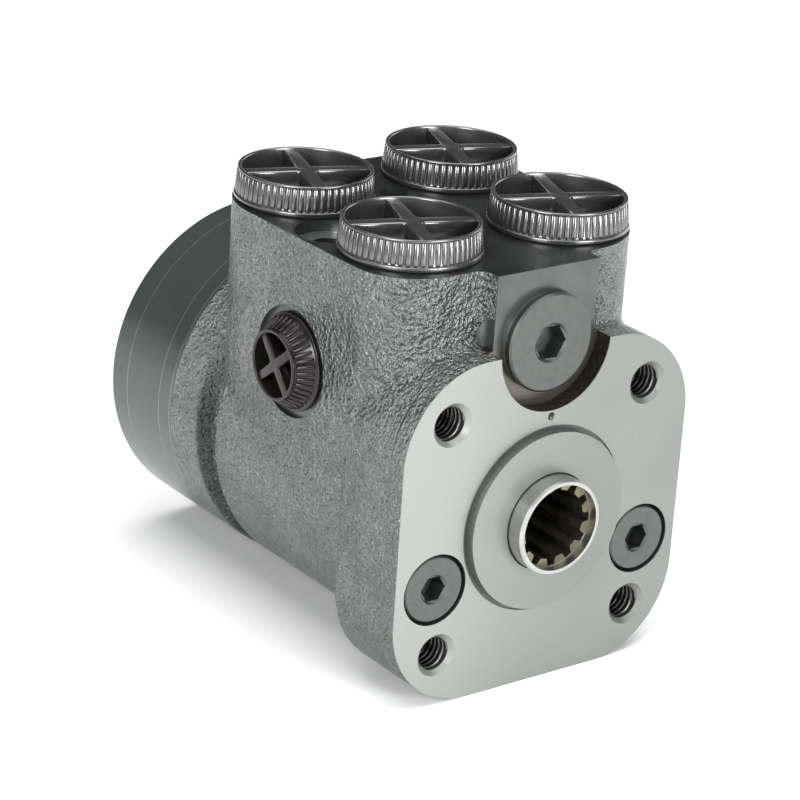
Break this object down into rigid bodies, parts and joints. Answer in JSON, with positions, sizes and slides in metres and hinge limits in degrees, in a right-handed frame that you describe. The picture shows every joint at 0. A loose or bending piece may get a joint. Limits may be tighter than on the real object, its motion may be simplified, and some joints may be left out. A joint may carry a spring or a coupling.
{
  "type": "orbital steering unit",
  "caption": "Orbital hydraulic steering unit: square mounting face with splined input, capped hose ports on top, round gear set behind.",
  "frame": {"origin": "centre of the mounting face, on the shaft axis", "axes": "+Y runs from the mounting face along the shaft into the unit, +Z points out of the hose ports, +X is to the right when looking along +Y"},
  "size_m": [0.0885, 0.1349, 0.1114],
  "materials": {
    "cast_body": "semi-gloss graphite paint over a cast skin, machined faces bare",
    "gear_steel": "dark semi-gloss paint over turned steel",
    "valve_steel": "ground and hardened",
    "bearing_steel": "ground",
    "spring_steel": "bright spring steel",
    "plug_steel": "zinc plated, satin",
    "screw_steel": "painted over with the end cover",
    "washer_metal": "soft sealing washer",
    "seal_rubber": "matte nitrile",
    "cap_plastic": "black polyethylene"
  },
  "bodies": {
    "housing_body": {"housing": "cast_body", "dust_seal": "seal_rubber", "shaft_seal": "seal_rubber", "bearing_race_outer": "bearing_steel", "distributor_plate": "gear_steel", "gear_ring": "gear_steel", "end_cover": "gear_steel", "joint_seals": "seal_rubber", "cover_screws": "screw_steel", "pin_screw": "screw_steel", "screw_washers": "washer_metal", "relief_plug": "plug_steel", "relief_washer": "washer_metal", "relief_adjuster": "plug_steel", "relief_spring": "spring_steel", "relief_seat": "valve_steel", "shock_plug_left": "plug_steel", "shock_plug_right": "plug_steel", "shock_spring_left": "spring_steel", "shock_spring_right": "spring_steel", "check_bushing": "plug_steel", "suction_pins": "bearing_steel"},
    "sleeve_body": {"sleeve": "valve_steel", "bearing_race_inner": "bearing_steel", "cross_pin": "valve_steel", "centring_springs": "spring_steel", "spring_ring": "spring_steel"},
    "spool_body": {"spool": "valve_steel"},
    "bearing_body": {"bearing_cage": "bearing_steel"},
    "orbit_body": {"drive_spacer": "valve_steel"},
    "rotor_body": {"rotor": "gear_steel"},
    "drive_body": {"drive_shaft": "valve_steel"},
    "relief_body": {"relief_poppet": "valve_steel"},
    "shock_left_body": {"shock_ball_left": "bearing_steel"},
    "shock_right_body": {"shock_ball_right": "bearing_steel"},
    "check_body": {"check_ball": "bearing_steel"},
    "suction_left_body": {"suction_ball_left": "bearing_steel"},
    "suction_right_body": {"suction_ball_right": "bearing_steel"},
    "sense_cap_body": {"sense_cap": "cap_plastic"},
    "cap_front_left_body": {"cap_front_left": "cap_plastic"},
    "cap_front_right_body": {"cap_front_right": "cap_plastic"},
    "cap_rear_left_body": {"cap_rear_left": "cap_plastic"},
    "cap_rear_right_body": {"cap_rear_right": "cap_plastic"}
  },
  "joints": [
    {"name": "sleeve_spin", "type": "hinge", "parent": "housing_body", "child": "sleeve_body", "pos_m": [0, 0, 0], "axis": [0, -1, 0], "continuous": true},
    {"name": "spool_lead", "type": "hinge", "parent": "sleeve_body", "child": "spool_body", "pos_m": [0, 0, 0], "axis": [0, -1, 0], "range_deg": [-12, 12], "stiffness_Nm_per_rad": 4},
    {"name": "bearing_roll", "type": "hinge", "parent": "housing_body", "child": "bearing_body", "pos_m": [0, 0, 0], "axis": [0, -1, 0], "continuous": true},
    {"name": "rotor_orbit", "type": "hinge", "parent": "housing_body", "child": "orbit_body", "pos_m": [0, 0, 0], "axis": [0, -1, 0], "continuous": true},
    {"name": "rotor_spin", "type": "hinge", "parent": "orbit_body", "child": "rotor_body", "pos_m": [0.003, 0.1111, 0], "axis": [0, -1, 0], "continuous": true},
    {"name": "drive_spin", "type": "hinge", "parent": "orbit_body", "child": "drive_body", "pos_m": [0, 0.05, 0], "axis": [-0.049, -0.9988, 0], "continuous": true},
    {"name": "relief_lift", "type": "slide", "parent": "housing_body", "child": "relief_body", "axis": [0, -1, 0], "range_m": [0, 0.0015], "stiffness_N_per_m": 5000, "deforming": ["relief_spring"]},
    {"name": "shock_lift_left", "type": "slide", "parent": "housing_body", "child": "shock_left_body", "axis": [0, -1, 0], "range_m": [0, 0.0012], "stiffness_N_per_m": 4000, "deforming": ["shock_spring_left"]},
    {"name": "shock_lift_right", "type": "slide", "parent": "housing_body", "child": "shock_right_body", "axis": [0, -1, 0], "range_m": [0, 0.0012], "stiffness_N_per_m": 4000, "deforming": ["shock_spring_right"]},
    {"name": "check_lift", "type": "slide", "parent": "housing_body", "child": "check_body", "axis": [0, 0, 1], "range_m": [0, 0.0028]},
    {"name": "suction_lift_left", "type": "slide", "parent": "housing_body", "child": "suction_left_body", "axis": [0, -1, 0], "range_m": [0, 0.0022]},
    {"name": "suction_lift_right", "type": "slide", "parent": "housing_body", "child": "suction_right_body", "axis": [0, -1, 0], "range_m": [0, 0.0022]},
    {"name": "cap_front_left_pull", "type": "slide", "parent": "housing_body", "child": "cap_front_left_body", "axis": [0, 0, 1], "range_m": [0, 0.1]},
    {"name": "cap_front_right_pull", "type": "slide", "parent": "housing_body", "child": "cap_front_right_body", "axis": [0, 0, 1], "range_m": [0, 0.1]},
    {"name": "cap_rear_left_pull", "type": "slide", "parent": "housing_body", "child": "cap_rear_left_body", "axis": [0, 0, 1], "range_m": [0, 0.1]},
    {"name": "cap_rear_right_pull", "type": "slide", "parent": "housing_body", "child": "cap_rear_right_body", "axis": [0, 0, 1], "range_m": [0, 0.1]},
    {"name": "sense_cap_pull", "type": "slide", "parent": "housing_body", "child": "sense_cap_body", "axis": [-1, 0, 0], "range_m": [0, 0.06]}
  ],
  "couplings": [
    {"joint": "bearing_roll", "follows": "sleeve_spin", "ratio": 0.5},
    {"joint": "rotor_orbit", "follows": "sleeve_spin", "ratio": -6},
    {"joint": "rotor_spin", "follows": "sleeve_spin", "ratio": 7},
    {"joint": "drive_spin", "follows": "sleeve_spin", "ratio": 7}
  ]
}
